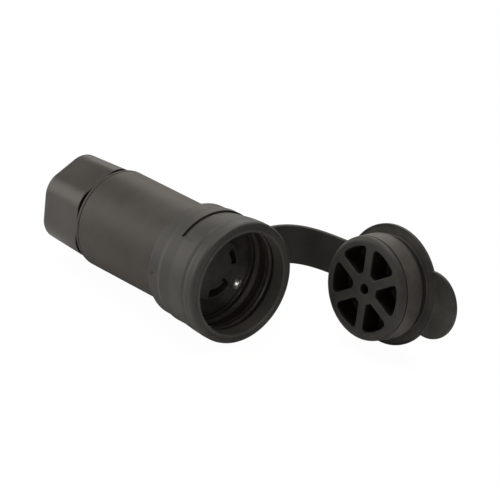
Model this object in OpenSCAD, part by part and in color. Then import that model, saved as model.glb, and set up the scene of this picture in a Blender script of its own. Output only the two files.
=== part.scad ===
// Watertight four-pole cable coupler with a tethered closure cap.
// Frame: the coupler's axis is X, its mouth opens towards +X, Z is up and
// the origin is the centre of the mouth's face. Lengths are millimetres.

/* [Boot] */
// Radius of the mouth bore, which every other radius follows
mouth_r = 25.2; // [23:0.1:29]
// Wall of the mouth, from its bore out to the bead
rim_wall = 4.8; // [4.4:0.1:6]
// Length from the mouth's face to the tube's rear end
boot_len = 94.7; // [90:0.5:110]
// Depth of the mouth, down to the contact face's flange
mouth_depth = 23; // [20:0.5:28]
// Wall of the tube
boot_wall = 2.4; // [2:0.1:2.6]
// Width of one sealing groove in the mouth
seal_groove_w = 1.5; // [1:0.1:2]
// Depth of one sealing groove
seal_groove_d = 1.2; // [0.6:0.1:1.8]
// Half angle of the label panel on the collar's top
panel_half_angle = 40; // [20:1:60]
// Width of the slit behind the label panel
slit_w = 1; // [0.4:0.1:1.4]

/* [Contacts] */
// Height of the raised contact face over its flange
face_rise = 3; // [2:0.1:4]
// Thickness of the face's flange
face_flange_t = 3; // [2:0.1:4]
// Width of a curved line slot
slot_w = 3; // [2:0.1:3.6]
// Angle that a line slot spans
slot_span = 36; // [30:1:40]
// Width of the ground slot
ground_slot_w = 3.8; // [3:0.1:4.4]
// Angle that the ground slot spans
ground_span = 56; // [50:1:60]
// Direction of the first slot, from +Y towards +Z
first_slot_angle = 14; // [0:1:40]
// Thickness of the sheet that the contacts are folded from
leaf_t = 0.9; // [0.6:0.1:1]
// Length of the contact leaves
leaf_len = 16; // [12:0.5:18]

/* [Housing] */
// Wall of the rigid housing
shell_wall = 2.5; // [2.2:0.1:2.6]
// Length of the threaded neck behind the boot
neck_len = 17.8; // [14:0.2:22]
// Direction of the first assembly screw, from +Y towards +Z
assembly_angle = -40; // [-44:1:-30]

/* [Cord grip] */
// Least wall of the nut outside its thread
nut_wall = 4.6; // [3.5:0.1:6]
// Rounding of the nut's corners
nut_corner_r = 11.5; // [6:0.5:14]
// Length of the nut
nut_len = 27.8; // [23:0.2:34]
// Direction of one flat of the nut, from +Y towards +Z
nut_flat_angle = 113; // [90:1:150]

/* [Closure cap] */
// Thickness of the flange
flange_t = 2.8; // [2:0.1:3.4]
// Height of the plug's nose over the flange's middle plane
plug_h = 16.6; // [14:0.2:20]
// Inner radius of the six pockets
pocket_r0 = 7.4; // [6.5:0.1:8.5]
// Depth of the pockets
pocket_depth = 11; // [6:0.5:12]
// Width of the spokes between the pockets
spoke_w = 4.6; // [3:0.1:6]
// Radius of the centre hole
centre_hole_r = 2.6; // [1.5:0.1:3]
// Radius of the pull tab
tab_r = 16.2; // [13:0.2:19]
// Distance of the standing cap in front of the mouth
cap_ahead = 39.4; // [36:0.2:46]
// Heading of the plug's axis where the cap stands
cap_heading = -86; // [-90:1:-80]
// Lean of the plug's axis above the level
cap_lean = 10.6; // [5:0.2:15]

/* [Strap] */
// Width of the strap
strap_w = 18.8; // [15:0.2:20]
// Thickness of the strap
strap_t = 2.6; // [2:0.1:3.4]
// Height of the strap's middle over the cap's centre, in the flange's plane
strap_rise = 2.4; // [0:0.1:4]

/* [Hidden] */
$fn = 96;

// Gap between pieces that are laid in or stacked
seat_gap = 0.1;
// Radial clearance of a piece that drops into a bore
drop_fit = 0.3;
// Radial clearance of a screw in its thread, or of the nut on its neck
thread_fit = 0.05;
// Overlap of one shape with the next in the same solid
weld = 0.5;
// Radii of the screws and of the assembly screws' heads
screw_r = 1.5;
assembly_head_r = 3;

boot_colour = "#4e4d49";
shell_colour = "#2c2c2b";
face_colour = "#6d6a66";
nut_colour = "#46443f";
brass_colour = "#b89a4e";
steel_colour = "#c9c9c6";

// Stations along the axis, all behind the mouth's face
flange_front = -mouth_depth;
face_front = flange_front + face_rise;
flange_back = flange_front - face_flange_t;
gasket_t = 1.5;
gasket_back = flange_back - seat_gap - gasket_t;
shell_front = gasket_back - seat_gap;
block_front = flange_back - seat_gap;
leaf_front = shell_front - weld;
pad_front = leaf_front - leaf_len;
pad_t = 2;
wire_gap = 2.6;
plate_front = pad_front - pad_t - wire_gap;
plate_t = 1.6;
head_front = plate_front - plate_t - seat_gap;
head_t = 2.2;
block_back = head_front - head_t - 1;
cover_t = 4;
cover_back = block_back - seat_gap - cover_t;
ledge_front = cover_back - seat_gap;
ledge_t = 3;
end_wall = 2.4;
shell_back = -boot_len + end_wall + seat_gap;
neck_back = -boot_len - neck_len;

// Radii of the boot, all set by the mouth
collar_drop = 0.2;
waist_drop = 1.1;
low_band_drop = 1.8;
tube_drop = 0.3;
rim_r = mouth_r + rim_wall;
collar_r = rim_r - collar_drop;
waist_r = rim_r - waist_drop;
low_band_r = rim_r - low_band_drop;
tube_r = mouth_r - tube_drop;
boot_bore_r = tube_r - boot_wall;

// Radii of the housing and of what it holds, from the boot inwards
seat_step = 0.2;
screw_inset = 0.8;
head_room = 0.2;
slot_margin = 1;
shell_r = boot_bore_r - drop_fit;
shell_bore_r = shell_r - shell_wall;
block_r = shell_bore_r - drop_fit;
flange_seat_r = mouth_r - seat_step;
face_flange_r = flange_seat_r - drop_fit;
assembly_r = shell_bore_r - screw_inset;
face_r = assembly_r - assembly_head_r - head_room;
slot_circle_r = face_r - slot_margin - leaf_t - slot_w / 2;

// Radii of the cord grip, from the neck inwards and out to the nut
neck_step = 4.2;
neck_wall = 3.1;
way_step = 4.9;
rear_lip = 3.9;
grip_step = 2.5;
neck_r = shell_r - neck_step;
neck_bore_r = neck_r - neck_wall;
grommet_r = neck_bore_r - drop_fit;
washer_r = neck_bore_r;
cable_way_r = neck_bore_r - way_step;
cable_hole_r = washer_r - rear_lip;
grommet_bore_r = cable_hole_r - grip_step;
nut_af = 2 * (neck_r + nut_wall);

// Radii of the cap, and the place where it stands on the table
nose_fit = 0.5;
band_fit = 0.1;
cap_neck_step = 1.1;
flange_over = 3.6;
pocket_wall = 5.1;
tab_inset = 3.6;
cap_aside = 27.8;
table_drop = 2;
nose_r = mouth_r - nose_fit;
band_r = mouth_r - band_fit;
cap_neck_r = nose_r - cap_neck_step;
flange_r = mouth_r + flange_over;
pocket_r1 = nose_r - pocket_wall;
tab_out = flange_r - tab_inset;
cap_place = [cap_ahead, rim_r + cap_aside, flange_r * cos(cap_lean) - rim_r - table_drop];

function unit(v) = v / norm(v);

// Rounds the corners of a closed profile, each given as [radius, station, rounding]
function rounded(corners, n = 5) = let (m = len(corners)) [
    for (i = [0 : m - 1]) let (
        here = [corners[i][0], corners[i][1]],
        last = corners[(i + m - 1) % m],
        next = corners[(i + 1) % m],
        a = unit([last[0], last[1]] - here),
        b = unit([next[0], next[1]] - here),
        half = acos(a * b) / 2,
        turn = 180 - 2 * half,
        rounding = corners[i][2],
        centre = here + unit(a + b) * rounding / sin(half),
        from = here + a * rounding / tan(half) - centre,
        to = here + b * rounding / tan(half) - centre)
    each rounding == 0 ? [here] : [for (k = [0 : n])
        centre + (from * sin((1 - k / n) * turn) + to * sin(k / n * turn)) / sin(turn)]];

// Maps the drawing plane onto YZ and the height onto X
module along_axis() {
    rotate([90, 0, 90]) children();
}

// A ring with a square section, from one station back to another
module ring(r_out, r_in, front, back) {
    along_axis() translate([0, 0, back]) difference() {
        cylinder(r = r_out, h = front - back);
        translate([0, 0, -weld]) cylinder(r = r_in, h = front - back + 2 * weld);
    }
}

// A solid disc on the axis, from one station back to another
module disc(r, front, back) {
    along_axis() translate([0, 0, back]) cylinder(r = r, h = front - back);
}

// A rod along the axis at a distance and a direction from it
module rod_at(dist, angle, r, front, back) {
    along_axis() rotate([0, 0, angle]) translate([dist, 0, back])
        cylinder(r = r, h = front - back);
}

// A sector of a ring, centred on a direction
module sector(r_in, r_out, span, angle, front, back) {
    along_axis() translate([0, 0, back]) rotate([0, 0, angle - span / 2])
        rotate_extrude(angle = span)
            translate([r_in, 0]) square([r_out - r_in, front - back]);
}

// Points of an arc in a profile, from one angle to another
function arc(c, r, a0, a1, n = 8) =
    [for (i = [0 : n]) let (a = a0 + (a1 - a0) * i / n)
        [c[0] + r * cos(a), c[1] + r * sin(a)]];

// Boot: bead, collar, low band, shoulder and tube in one moulding
bead_len = 4.5;
collar_back = mouth_depth + 2;
band_back = mouth_depth + 11;
seal_stations = [0.365 * mouth_depth, 0.574 * mouth_depth, 0.8 * mouth_depth];
panel_back = mouth_depth - 3;
panel_r = waist_r - 0.8;
slit_r = waist_r - 1.4;
dimple_back = band_back - 2.8;
dimple_angle = 175;
dimple_r = 1;

function boot_outline() = rounded([
    [mouth_r, 0, 0.3],
    [rim_r, 0, 2],
    [rim_r, -bead_len, 0.8],
    [rim_r - 1, -bead_len - 1.5, 0.6],
    [collar_r, -bead_len - 3.7, 0.8],
    [waist_r, -bead_len - 12.5, 6],
    [waist_r, -collar_back, 1],
    [low_band_r, -collar_back - 2.4, 1],
    [low_band_r, -band_back, 3],
    [tube_r, -band_back - 1.8, 2],
    [tube_r, -boot_len, 1.6],
    [neck_r + drop_fit, -boot_len, 0],
    [neck_r + drop_fit, -boot_len + end_wall, 0],
    [boot_bore_r, -boot_len + end_wall, 0],
    [boot_bore_r, shell_front, 0],
    [flange_seat_r, shell_front, 0],
    [flange_seat_r, flange_front, 0],
    [mouth_r, flange_front, 0]]);

// Thickened root of the strap on the collar's side
root_out = rim_r + 1.1;
root_back = mouth_depth - 2;
root_len = 7;
root_rise = 0.5;

module boot_sleeve() {
    color(boot_colour) difference() {
        union() {
            along_axis() rotate_extrude() polygon(boot_outline());
            translate([-root_back - root_len / 2, mouth_r + 2, root_rise - strap_w / 2])
                cube([root_len, root_out - mouth_r - 2, strap_w]);
        }
        for (s = seal_stations)
            ring(mouth_r + seal_groove_d, mouth_r - weld, -s, -s - seal_groove_w);
        // Sunk label panel on the collar's top, with the slit behind it
        along_axis() rotate([0, 0, 90 - panel_half_angle])
            rotate_extrude(angle = 2 * panel_half_angle) polygon([
                [slit_r, -panel_back - slit_w], [slit_r, -panel_back], [panel_r, -panel_back],
                [rim_r - 0.1, -bead_len - 4.1], [rim_r + 1, -bead_len - 4.1],
                [rim_r + 1, -panel_back - slit_w]]);
        // Small moulded dimple on the low band's side
        along_axis() rotate([0, 0, dimple_angle])
            translate([low_band_r + 0.2, 0, -dimple_back]) sphere(r = dimple_r);
    }
}

boss_r = 3.2;
boss_len = 14;
insert_r = 2.4;
insert_len = 8;
screw_angles = [assembly_angle, assembly_angle + 180];

module body_shell() {
    color(shell_colour) difference() {
        union() {
            ring(shell_r, shell_bore_r, shell_front, shell_back);
            // Bosses for the two assembly screws
            intersection() {
                ring(shell_r - weld, 1, shell_front, shell_front - boss_len);
                for (a = screw_angles)
                    rod_at(assembly_r, a, boss_r, shell_front, shell_front - boss_len);
            }
            // Ledge that the contact block's cover seats on
            ring(shell_bore_r + weld, shell_bore_r - 3, ledge_front, ledge_front - ledge_t);
            // End wall and neck
            ring(shell_r, cable_way_r, shell_back + 3, shell_back);
            ring(neck_r, neck_bore_r, shell_back + weld, neck_back);
            ring(neck_r - 0.6, cable_way_r, shell_back + weld, -boot_len - 3.6);
        }
        for (a = screw_angles)
            rod_at(assembly_r, a, insert_r + thread_fit, shell_front + weld,
                   shell_front - insert_len);
    }
}

module face_gasket() {
    color("#3a3a38") difference() {
        ring(face_flange_r, face_r + drop_fit, gasket_back + gasket_t, gasket_back);
        for (a = screw_angles)
            rod_at(assembly_r, a, screw_r + drop_fit, flange_back, gasket_back - weld);
    }
}

slot_angles = [for (i = [0 : 3]) first_slot_angle + 90 * i];
slot_spans = [slot_span, slot_span, slot_span, ground_span];
slot_widths = [slot_w, slot_w, slot_w, ground_slot_w];
hook_span = 9;
hook_past = 1.5;
hook_reach = 1.6;
edge_round = 0.8;

module contact_face() {
    color(face_colour) difference() {
        union() {
            disc(face_flange_r, flange_front, flange_back);
            along_axis() rotate_extrude() polygon(rounded([
                [0, flange_back + weld, 0], [face_r, flange_back + weld, 0],
                [face_r, face_front, edge_round], [0, face_front, 0]]));
        }
        for (i = [0 : 3])
            sector(slot_circle_r - slot_widths[i] / 2, slot_circle_r + slot_widths[i] / 2,
                   slot_spans[i], slot_angles[i], face_front + weld, flange_back - weld);
        // The ground slot turns inwards at one end
        sector(slot_circle_r - ground_slot_w / 2 - hook_reach, slot_circle_r, hook_span,
               slot_angles[3] + (ground_span - hook_span) / 2 + hook_past,
               face_front + weld, flange_back - weld);
        for (a = screw_angles)
            rod_at(assembly_r, a, screw_r + drop_fit, flange_front + weld, flange_back - weld);
    }
}

leaf_spans = [slot_span, slot_span, slot_span, ground_span - 12];
leaf_r_in = slot_circle_r - slot_w / 2 - leaf_t;
leaf_r_out = slot_circle_r + slot_w / 2 + leaf_t;
pocket_room = 0.3;
chamber_wall = 1.8;
chamber_reach = 5.3;
pad_room = 1;
pad_span = 62;
chamber_span = pad_span + 8;
chamber_r0 = slot_circle_r - chamber_reach;
chamber_r1 = block_r - chamber_wall;
pad_r0 = chamber_r0 + pad_room;
pad_r1 = chamber_r1 - pad_room;

module contact_block() {
    color("#1f1f1e") difference() {
        union() {
            disc(face_r, block_front, shell_front - weld);
            disc(block_r, shell_front - 2 * seat_gap, block_back);
        }
        for (a = screw_angles)
            rod_at(assembly_r, a, boss_r + drop_fit, block_front,
                   shell_front - boss_len - drop_fit);
        for (i = [0 : 3]) {
            sector(leaf_r_in - pocket_room, leaf_r_out + pocket_room,
                   leaf_spans[i] + 4, slot_angles[i], block_front + weld, pad_front - weld);
            sector(chamber_r0, chamber_r1, chamber_span, slot_angles[i],
                   pad_front + pocket_room, block_back - weld);
        }
    }
}

hole_shift = 15;
hole_pitch = 2 * slot_circle_r * sin(hole_shift);
wire_hole_r = 0.455 * hole_pitch;
driver_hole_r = 0.345 * hole_pitch;

module block_cover() {
    color("#35342f") difference() {
        disc(block_r, block_back - seat_gap, cover_back);
        for (a = slot_angles) {
            rod_at(slot_circle_r, a + hole_shift, wire_hole_r, block_back + weld, cover_back - weld);
            rod_at(slot_circle_r, a - hole_shift, driver_hole_r, block_back + weld,
                   cover_back - weld);
        }
    }
}

// One folded contact: two sprung leaves on a terminal pad with a tapped hole
module contact(i, colour) {
    a = slot_angles[i];
    span = leaf_spans[i];
    color(colour) difference() {
        union() {
            sector(leaf_r_in, leaf_r_in + leaf_t, span, a, leaf_front, pad_front - 0.2);
            sector(leaf_r_out - leaf_t, leaf_r_out, span, a, leaf_front, pad_front - 0.2);
            sector(pad_r0, pad_r1, pad_span, a, pad_front, pad_front - pad_t);
        }
        rod_at(slot_circle_r, a - hole_shift, screw_r + thread_fit, pad_front + 1,
               pad_front - pad_t - 1);
    }
}
module line_contact_x() { contact(0, brass_colour); }
module line_contact_y() { contact(1, brass_colour); }
module line_contact_z() { contact(2, brass_colour); }
module ground_contact() { contact(3, "#c2a860"); }

module clamp_plates() {
    color(steel_colour) for (a = slot_angles) difference() {
        sector(pad_r0 + 0.5, pad_r1 - 0.5, pad_span - 4, a, plate_front, plate_front - plate_t);
        rod_at(slot_circle_r, a - hole_shift, screw_r + drop_fit, plate_front + 1,
               plate_front - plate_t - 1);
    }
}

term_head_r = 2.6;

// A screw along the axis with a slotted head at its rear or its front
module screw(dist, angle, shank_front, shank_back, head_r, head_h, head_at_front, slot_turn = 0) {
    head_base = head_at_front ? shank_front : shank_back;
    head_end = head_at_front ? head_base + head_h : head_base - head_h;
    difference() {
        union() {
            rod_at(dist, angle, screw_r, shank_front, shank_back);
            rod_at(dist, angle, head_r, max(head_base, head_end), min(head_base, head_end));
        }
        along_axis() rotate([0, 0, angle]) translate([dist, 0, head_end])
            rotate([0, 0, slot_turn]) cube([2 * head_r + 1, 0.9, 1.6], center = true);
    }
}

module terminal_screws() {
    color(steel_colour) for (i = [0 : 2])
        screw(slot_circle_r, slot_angles[i] - hole_shift, pad_front - weld,
              head_front, term_head_r, head_t, false);
}
module ground_screw() {
    color("#3f7d4a") screw(slot_circle_r, slot_angles[3] - hole_shift, pad_front - weld,
                           head_front, term_head_r, head_t, false);
}

assembly_head_h = 2.2;

module assembly_screws() {
    color(steel_colour) for (a = screw_angles)
        screw(assembly_r, a, flange_front + seat_gap, shell_front - insert_len + 1,
              assembly_head_r, assembly_head_h, true, 50);
}

module assembly_inserts() {
    color(brass_colour) for (a = screw_angles) difference() {
        rod_at(assembly_r, a, insert_r, shell_front - 0.2, shell_front - insert_len + 0.2);
        rod_at(assembly_r, a, screw_r + thread_fit, shell_front + 1,
               shell_front - insert_len - 1);
    }
}

// Cord grip
nut_gap = 1.8;
nut_front = -boot_len - nut_gap;
nut_back = nut_front - nut_len;
oring_r = 0.75;
grommet_front = -boot_len - 3.6 - seat_gap;
grommet_back = neck_back - 3;
washer_t = 1.6;
washer_front = grommet_back - seat_gap;
washer_back = washer_front - washer_t;
nut_shoulder = washer_back - seat_gap;
thread_end = neck_back - 1;

module neck_oring() {
    color("#2a2a2a") along_axis() translate([0, 0, -boot_len - nut_gap / 2])
        rotate_extrude() translate([neck_r + oring_r + 0.02, 0]) circle(r = oring_r);
}

module cable_grommet() {
    color("#33322f") along_axis() rotate_extrude() polygon([
        [grommet_bore_r, grommet_front], [grommet_r - 2.5, grommet_front],
        [grommet_r, grommet_front - 4], [grommet_r, grommet_back + 2],
        [grommet_r - 1, grommet_back], [grommet_bore_r, grommet_back]]);
}

module thrust_washer() {
    color(steel_colour) ring(washer_r, grommet_bore_r + 1, washer_front, washer_back);
}

// Hexagon with rounded corners, one flat facing the given direction
module round_hex(af, corner) {
    flat_half = (af / 2 - corner) * tan(30);
    polygon([for (k = [0 : 5]) each [for (i = [0 : 8])
        let (a = 60 * k + 60 * i / 8, c = (af / 2 - corner) / cos(30))
        [c * cos(60 * k + 30) + corner * cos(a), c * sin(60 * k + 30) + corner * sin(a)]]]);
}

nut_rear_round = 1.4;
nut_front_chamfer = 0.8;
nut_corner = (nut_af / 2 - nut_corner_r) / cos(30) + nut_corner_r;

module gland_nut() {
    color(nut_colour) difference() {
        intersection() {
            along_axis() translate([0, 0, nut_back]) rotate([0, 0, nut_flat_angle])
                linear_extrude(height = nut_len) round_hex(nut_af, nut_corner_r);
            // Turned ends: a chamfer in front and a round edge behind
            along_axis() rotate_extrude() polygon(concat(
                [[0, nut_front], [nut_corner - nut_front_chamfer, nut_front],
                 [nut_corner + 0.1, nut_front - nut_front_chamfer]],
                arc([nut_corner + 0.1 - nut_rear_round, nut_back + nut_rear_round],
                    nut_rear_round, 0, -90, 6),
                [[0, nut_back]]));
        }
        along_axis() rotate_extrude() polygon([
            [0, nut_front + 1], [neck_r + thread_fit, nut_front + 1],
            [neck_r + thread_fit, thread_end], [washer_r + drop_fit, thread_end - 1],
            [washer_r + drop_fit, nut_shoulder], [cable_hole_r, nut_shoulder],
            [cable_hole_r, nut_back + 1.5], [cable_hole_r + 2.5, nut_back - 1], [0, nut_back - 1]]);
    }
}

// Closure cap, drawn on its own axis: +Z is the nose, +X the pull tab
band_z0 = flange_t / 2 + 3.2;
band_z1 = plug_h - 2;
groove_z1 = band_z1 + 0.6;
groove_depth = 0.9;
band_front_r = nose_r + 0.1;
nose_round = 0.9;
flange_round = 0.6;
tab_t = flange_t - 0.6;
tab_side = -1;
pocket_round = 1.8;

function cap_outline() = rounded([
    [0, -flange_t / 2, 0],
    [flange_r, -flange_t / 2, flange_round],
    [flange_r, flange_t / 2, flange_round],
    [cap_neck_r, flange_t / 2, 0],
    [cap_neck_r, band_z0, 0],
    [band_r, band_z0, 1],
    [band_r, band_z0 + 2.6, 0],
    [band_front_r, band_z1, 0],
    [band_front_r - groove_depth, band_z1, 0],
    [band_front_r - groove_depth, groove_z1, 0],
    [nose_r, groove_z1, 0],
    [nose_r, plug_h, nose_round],
    [0, plug_h, 0]], 4);

// Outline of one pocket between two spokes, with its four corners rounded
function pocket_outline() = let (
    p = pocket_round,
    ro = pocket_r1 - p,
    ri = pocket_r0 + p,
    ao = 30 - asin((spoke_w / 2 + p) / ro),
    ai = 30 - asin((spoke_w / 2 + p) / ri)
) concat(
    arc([0, 0], pocket_r1, -ao, ao),
    arc([ro * cos(ao), ro * sin(ao)], p, ao, 120, 5),
    arc([ri * cos(ai), ri * sin(ai)], p, 120, 180 + ai, 5),
    arc([ri * cos(ai), -ri * sin(ai)], p, 180 - ai, 240, 5),
    arc([ro * cos(ao), -ro * sin(ao)], p, 240, 360 - ao, 5));

module closure_cap() {
    color(boot_colour) translate(cap_place)
        rotate([90 - cap_lean, 0, cap_heading + 90]) difference() {
            union() {
                rotate_extrude() polygon(cap_outline());
                translate([tab_out, tab_side, -flange_t / 2])
                    cylinder(r = tab_r, h = tab_t);
            }
            for (i = [0 : 5]) rotate([0, 0, 60 * i])
                translate([0, 0, plug_h - pocket_depth])
                    linear_extrude(height = pocket_depth + 1) polygon(pocket_outline());
            translate([0, 0, plug_h - pocket_depth])
                cylinder(r = centre_hole_r, h = pocket_depth + 1);
        }
}

// Strap: a flat band swept along a bend from the collar to the flange's edge
lean_dir = [-sin(cap_heading), cos(cap_heading), 0];
nose_dir = [cos(cap_heading) * cos(cap_lean), sin(cap_heading) * cos(cap_lean), sin(cap_lean)];
flange_up = cross(nose_dir, lean_dir);
strap_end_gap = 0.3;
strap_start = [-root_back, root_out + strap_end_gap, root_rise];
strap_end = cap_place + flange_up * strap_rise
    - lean_dir * (sqrt(pow(flange_r, 2) - pow(strap_w / 2, 2)) + 2);
strap_handles = [17, 20];
strap_rings = 28;

function bezier(a, b, c, d, t) =
    a * pow(1 - t, 3) + b * 3 * t * pow(1 - t, 2) + c * 3 * t * t * (1 - t) + d * pow(t, 3);
function bezier_dir(a, b, c, d, t) =
    (b - a) * 3 * pow(1 - t, 2) + (c - b) * 6 * t * (1 - t) + (d - c) * 3 * t * t;
strap_p1 = strap_start + [0, strap_handles[0], 0];
strap_p2 = strap_end - lean_dir * strap_handles[1];
function strap_point(t) = bezier(strap_start, strap_p1, strap_p2, strap_end, t);
function strap_dir(t) = unit(bezier_dir(strap_start, strap_p1, strap_p2, strap_end, t));
function strap_up(t) = let (u = [0, 0, 1] * (1 - t) + flange_up * t, d = strap_dir(t))
    unit(u - d * (u * d));
strap_edge = 0.7;
function strap_section() = let (w = strap_w / 2, h = strap_t / 2, e = strap_edge) [
    [w - e, h], [w, h - e], [w, e - h], [w - e, -h],
    [e - w, -h], [-w, e - h], [-w, h - e], [e - w, h]];

module cap_strap() {
    ring_n = 8;
    points = [for (i = [0 : strap_rings]) let (
            t = i / strap_rings, p = strap_point(t), up = strap_up(t),
            side = cross(strap_dir(t), up))
        each [for (q = strap_section()) p + up * q[0] + side * q[1]]];
    sides = [for (i = [0 : strap_rings - 1]) for (k = [0 : ring_n - 1])
        let (a = i * ring_n + k, b = i * ring_n + (k + 1) % ring_n)
        each [[a, b, b + ring_n], [a, b + ring_n, a + ring_n]]];
    ends = [
        [for (k = [ring_n - 1 : -1 : 0]) k],
        [for (k = [0 : ring_n - 1]) strap_rings * ring_n + k]];
    color(boot_colour) polyhedron(points, concat(sides, ends), convexity = 4);
}

boot_sleeve();
body_shell();
face_gasket();
contact_face();
contact_block();
block_cover();
line_contact_x();
line_contact_y();
line_contact_z();
ground_contact();
clamp_plates();
terminal_screws();
ground_screw();
assembly_screws();
assembly_inserts();
neck_oring();
cable_grommet();
thrust_washer();
gland_nut();
cap_strap();
closure_cap();
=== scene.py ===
# Watertight cable coupler with a tethered closure cap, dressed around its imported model.
# The coupler's axis is X, its mouth opens towards +X and Z is up. Sizes are in millimetres
# and become metres when a mesh is made.
import math

import bmesh
import bpy
from mathutils import Matrix, Vector


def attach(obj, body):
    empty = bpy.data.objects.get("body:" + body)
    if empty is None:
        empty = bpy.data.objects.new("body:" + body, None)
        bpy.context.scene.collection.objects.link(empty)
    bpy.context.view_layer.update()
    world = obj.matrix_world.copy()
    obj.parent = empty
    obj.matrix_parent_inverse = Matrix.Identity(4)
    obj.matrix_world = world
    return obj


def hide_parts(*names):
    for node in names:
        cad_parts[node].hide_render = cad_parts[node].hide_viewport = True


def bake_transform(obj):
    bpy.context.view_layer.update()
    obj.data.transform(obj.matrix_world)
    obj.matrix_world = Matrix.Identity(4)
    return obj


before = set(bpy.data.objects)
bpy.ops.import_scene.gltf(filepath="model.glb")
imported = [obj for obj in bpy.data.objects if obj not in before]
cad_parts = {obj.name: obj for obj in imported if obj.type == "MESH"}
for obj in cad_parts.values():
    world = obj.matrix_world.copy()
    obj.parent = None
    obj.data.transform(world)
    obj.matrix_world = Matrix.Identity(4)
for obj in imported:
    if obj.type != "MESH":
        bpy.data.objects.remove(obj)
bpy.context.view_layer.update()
mm = 0.001


# Boot: the soft rubber sleeve that is the coupler's whole outside. It is moulded in one with
# its bead, collar, shoulder and tube, and pulled over the rigid housing from the front. The
# mouth holds sealing ribs, and the strap grows from a thick root on the collar.
rim_r, mouth_r, collar_r, waist_r, low_band_r, tube_r = 30.0, 25.2, 29.8, 28.9, 28.2, 24.9
bead_len, collar_back, band_back, boot_len = 4.5, 25.0, 34.0, 94.7
lip, lip_r, rib_back, end_wall = 1.0, 27.3, 23.0, 2.4
housing_r, ledge_r, ledge_back, neck_hole_r = 22.5, 25.0, 27.7, 18.3
panel_front, panel_back, panel_r, panel_half_angle, panel_blend = 8.0, 20.0, 28.1, 40.0, 2.0
slit_w, slit_r = 0.8, 27.5
dimple_station, dimple_angle, dimple_r, dimple_depth = 31.2, 175.0, 1.0, 0.6
root_station, root_rise, root_half_w, root_half_len, root_out = 21.0, 1.6, 9.8, 3.5, 31.1


def rounded(corners, steps=6, support=0.25):
    """Rounds the corners (x, r, rounding) of a closed profile, with a point beside each arc."""
    points = []
    for i, (x, r, rounding) in enumerate(corners):
        here = Vector((x, r))
        to_last = Vector(corners[i - 1][:2]) - here
        to_next = Vector(corners[(i + 1) % len(corners)][:2]) - here
        a, b = to_last.normalized(), to_next.normalized()
        half = a.angle(b) / 2
        if rounding <= 0 or half > math.radians(89.5):
            points.append(here)
            continue
        reach = min(rounding / math.tan(half), 0.45 * to_last.length, 0.45 * to_next.length)
        radius = reach * math.tan(half)
        centre = here + (a + b).normalized() * (radius / math.sin(half))
        first, last = here + a * reach - centre, here + b * reach - centre
        turn = first.angle(last)
        points.append(here + a * min(reach + support, 0.5 * to_last.length))
        for k in range(steps + 1):
            t = k / steps
            points.append(centre + (first * math.sin((1 - t) * turn) + last * math.sin(t * turn))
                          / math.sin(turn))
        points.append(here + b * min(reach + support, 0.5 * to_next.length))
    return points


def ring_points(bm, x, r, segments, shape):
    """One ring of points round the X axis, or a single one on it."""
    if r < 1e-6:
        return [bm.verts.new((x * mm, 0, 0))]
    ring = []
    for k in range(segments):
        angle = math.tau * k / segments
        px, pr = shape(x, r, angle) if shape else (x, r)
        ring.append(bm.verts.new((px * mm, pr * math.cos(angle) * mm, pr * math.sin(angle) * mm)))
    return ring


def turn_profile(bm, profile, segments, shape=None):
    """Skins a closed profile of (x, r) points that is turned about the X axis."""
    rings = [ring_points(bm, x, r, segments, shape) for x, r in profile]
    for one, two in zip(rings, rings[1:] + rings[:1]):
        if len(one) == len(two) == 1:
            continue
        for k in range(segments):
            n = (k + 1) % segments
            corners = [one[k % len(one)], one[n % len(one)], two[n % len(two)], two[k % len(two)]]
            bm.faces.new(list(dict.fromkeys(corners)))


def finished(name, bm, material, sharp=38):
    """Makes the object of a mesh: no doubles, faces outwards, smooth, sharp edges marked."""
    bmesh.ops.remove_doubles(bm, verts=bm.verts, dist=0.0001 * mm)
    bmesh.ops.recalc_face_normals(bm, faces=bm.faces)
    for face in bm.faces:
        face.smooth = True
    mesh = bpy.data.meshes.new(name)
    bm.to_mesh(mesh)
    bm.free()
    mesh.set_sharp_from_angle(angle=math.radians(sharp))
    piece = bpy.data.objects.new(name, mesh)
    bpy.context.scene.collection.objects.link(piece)
    mesh.materials.append(material)
    return piece


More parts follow.
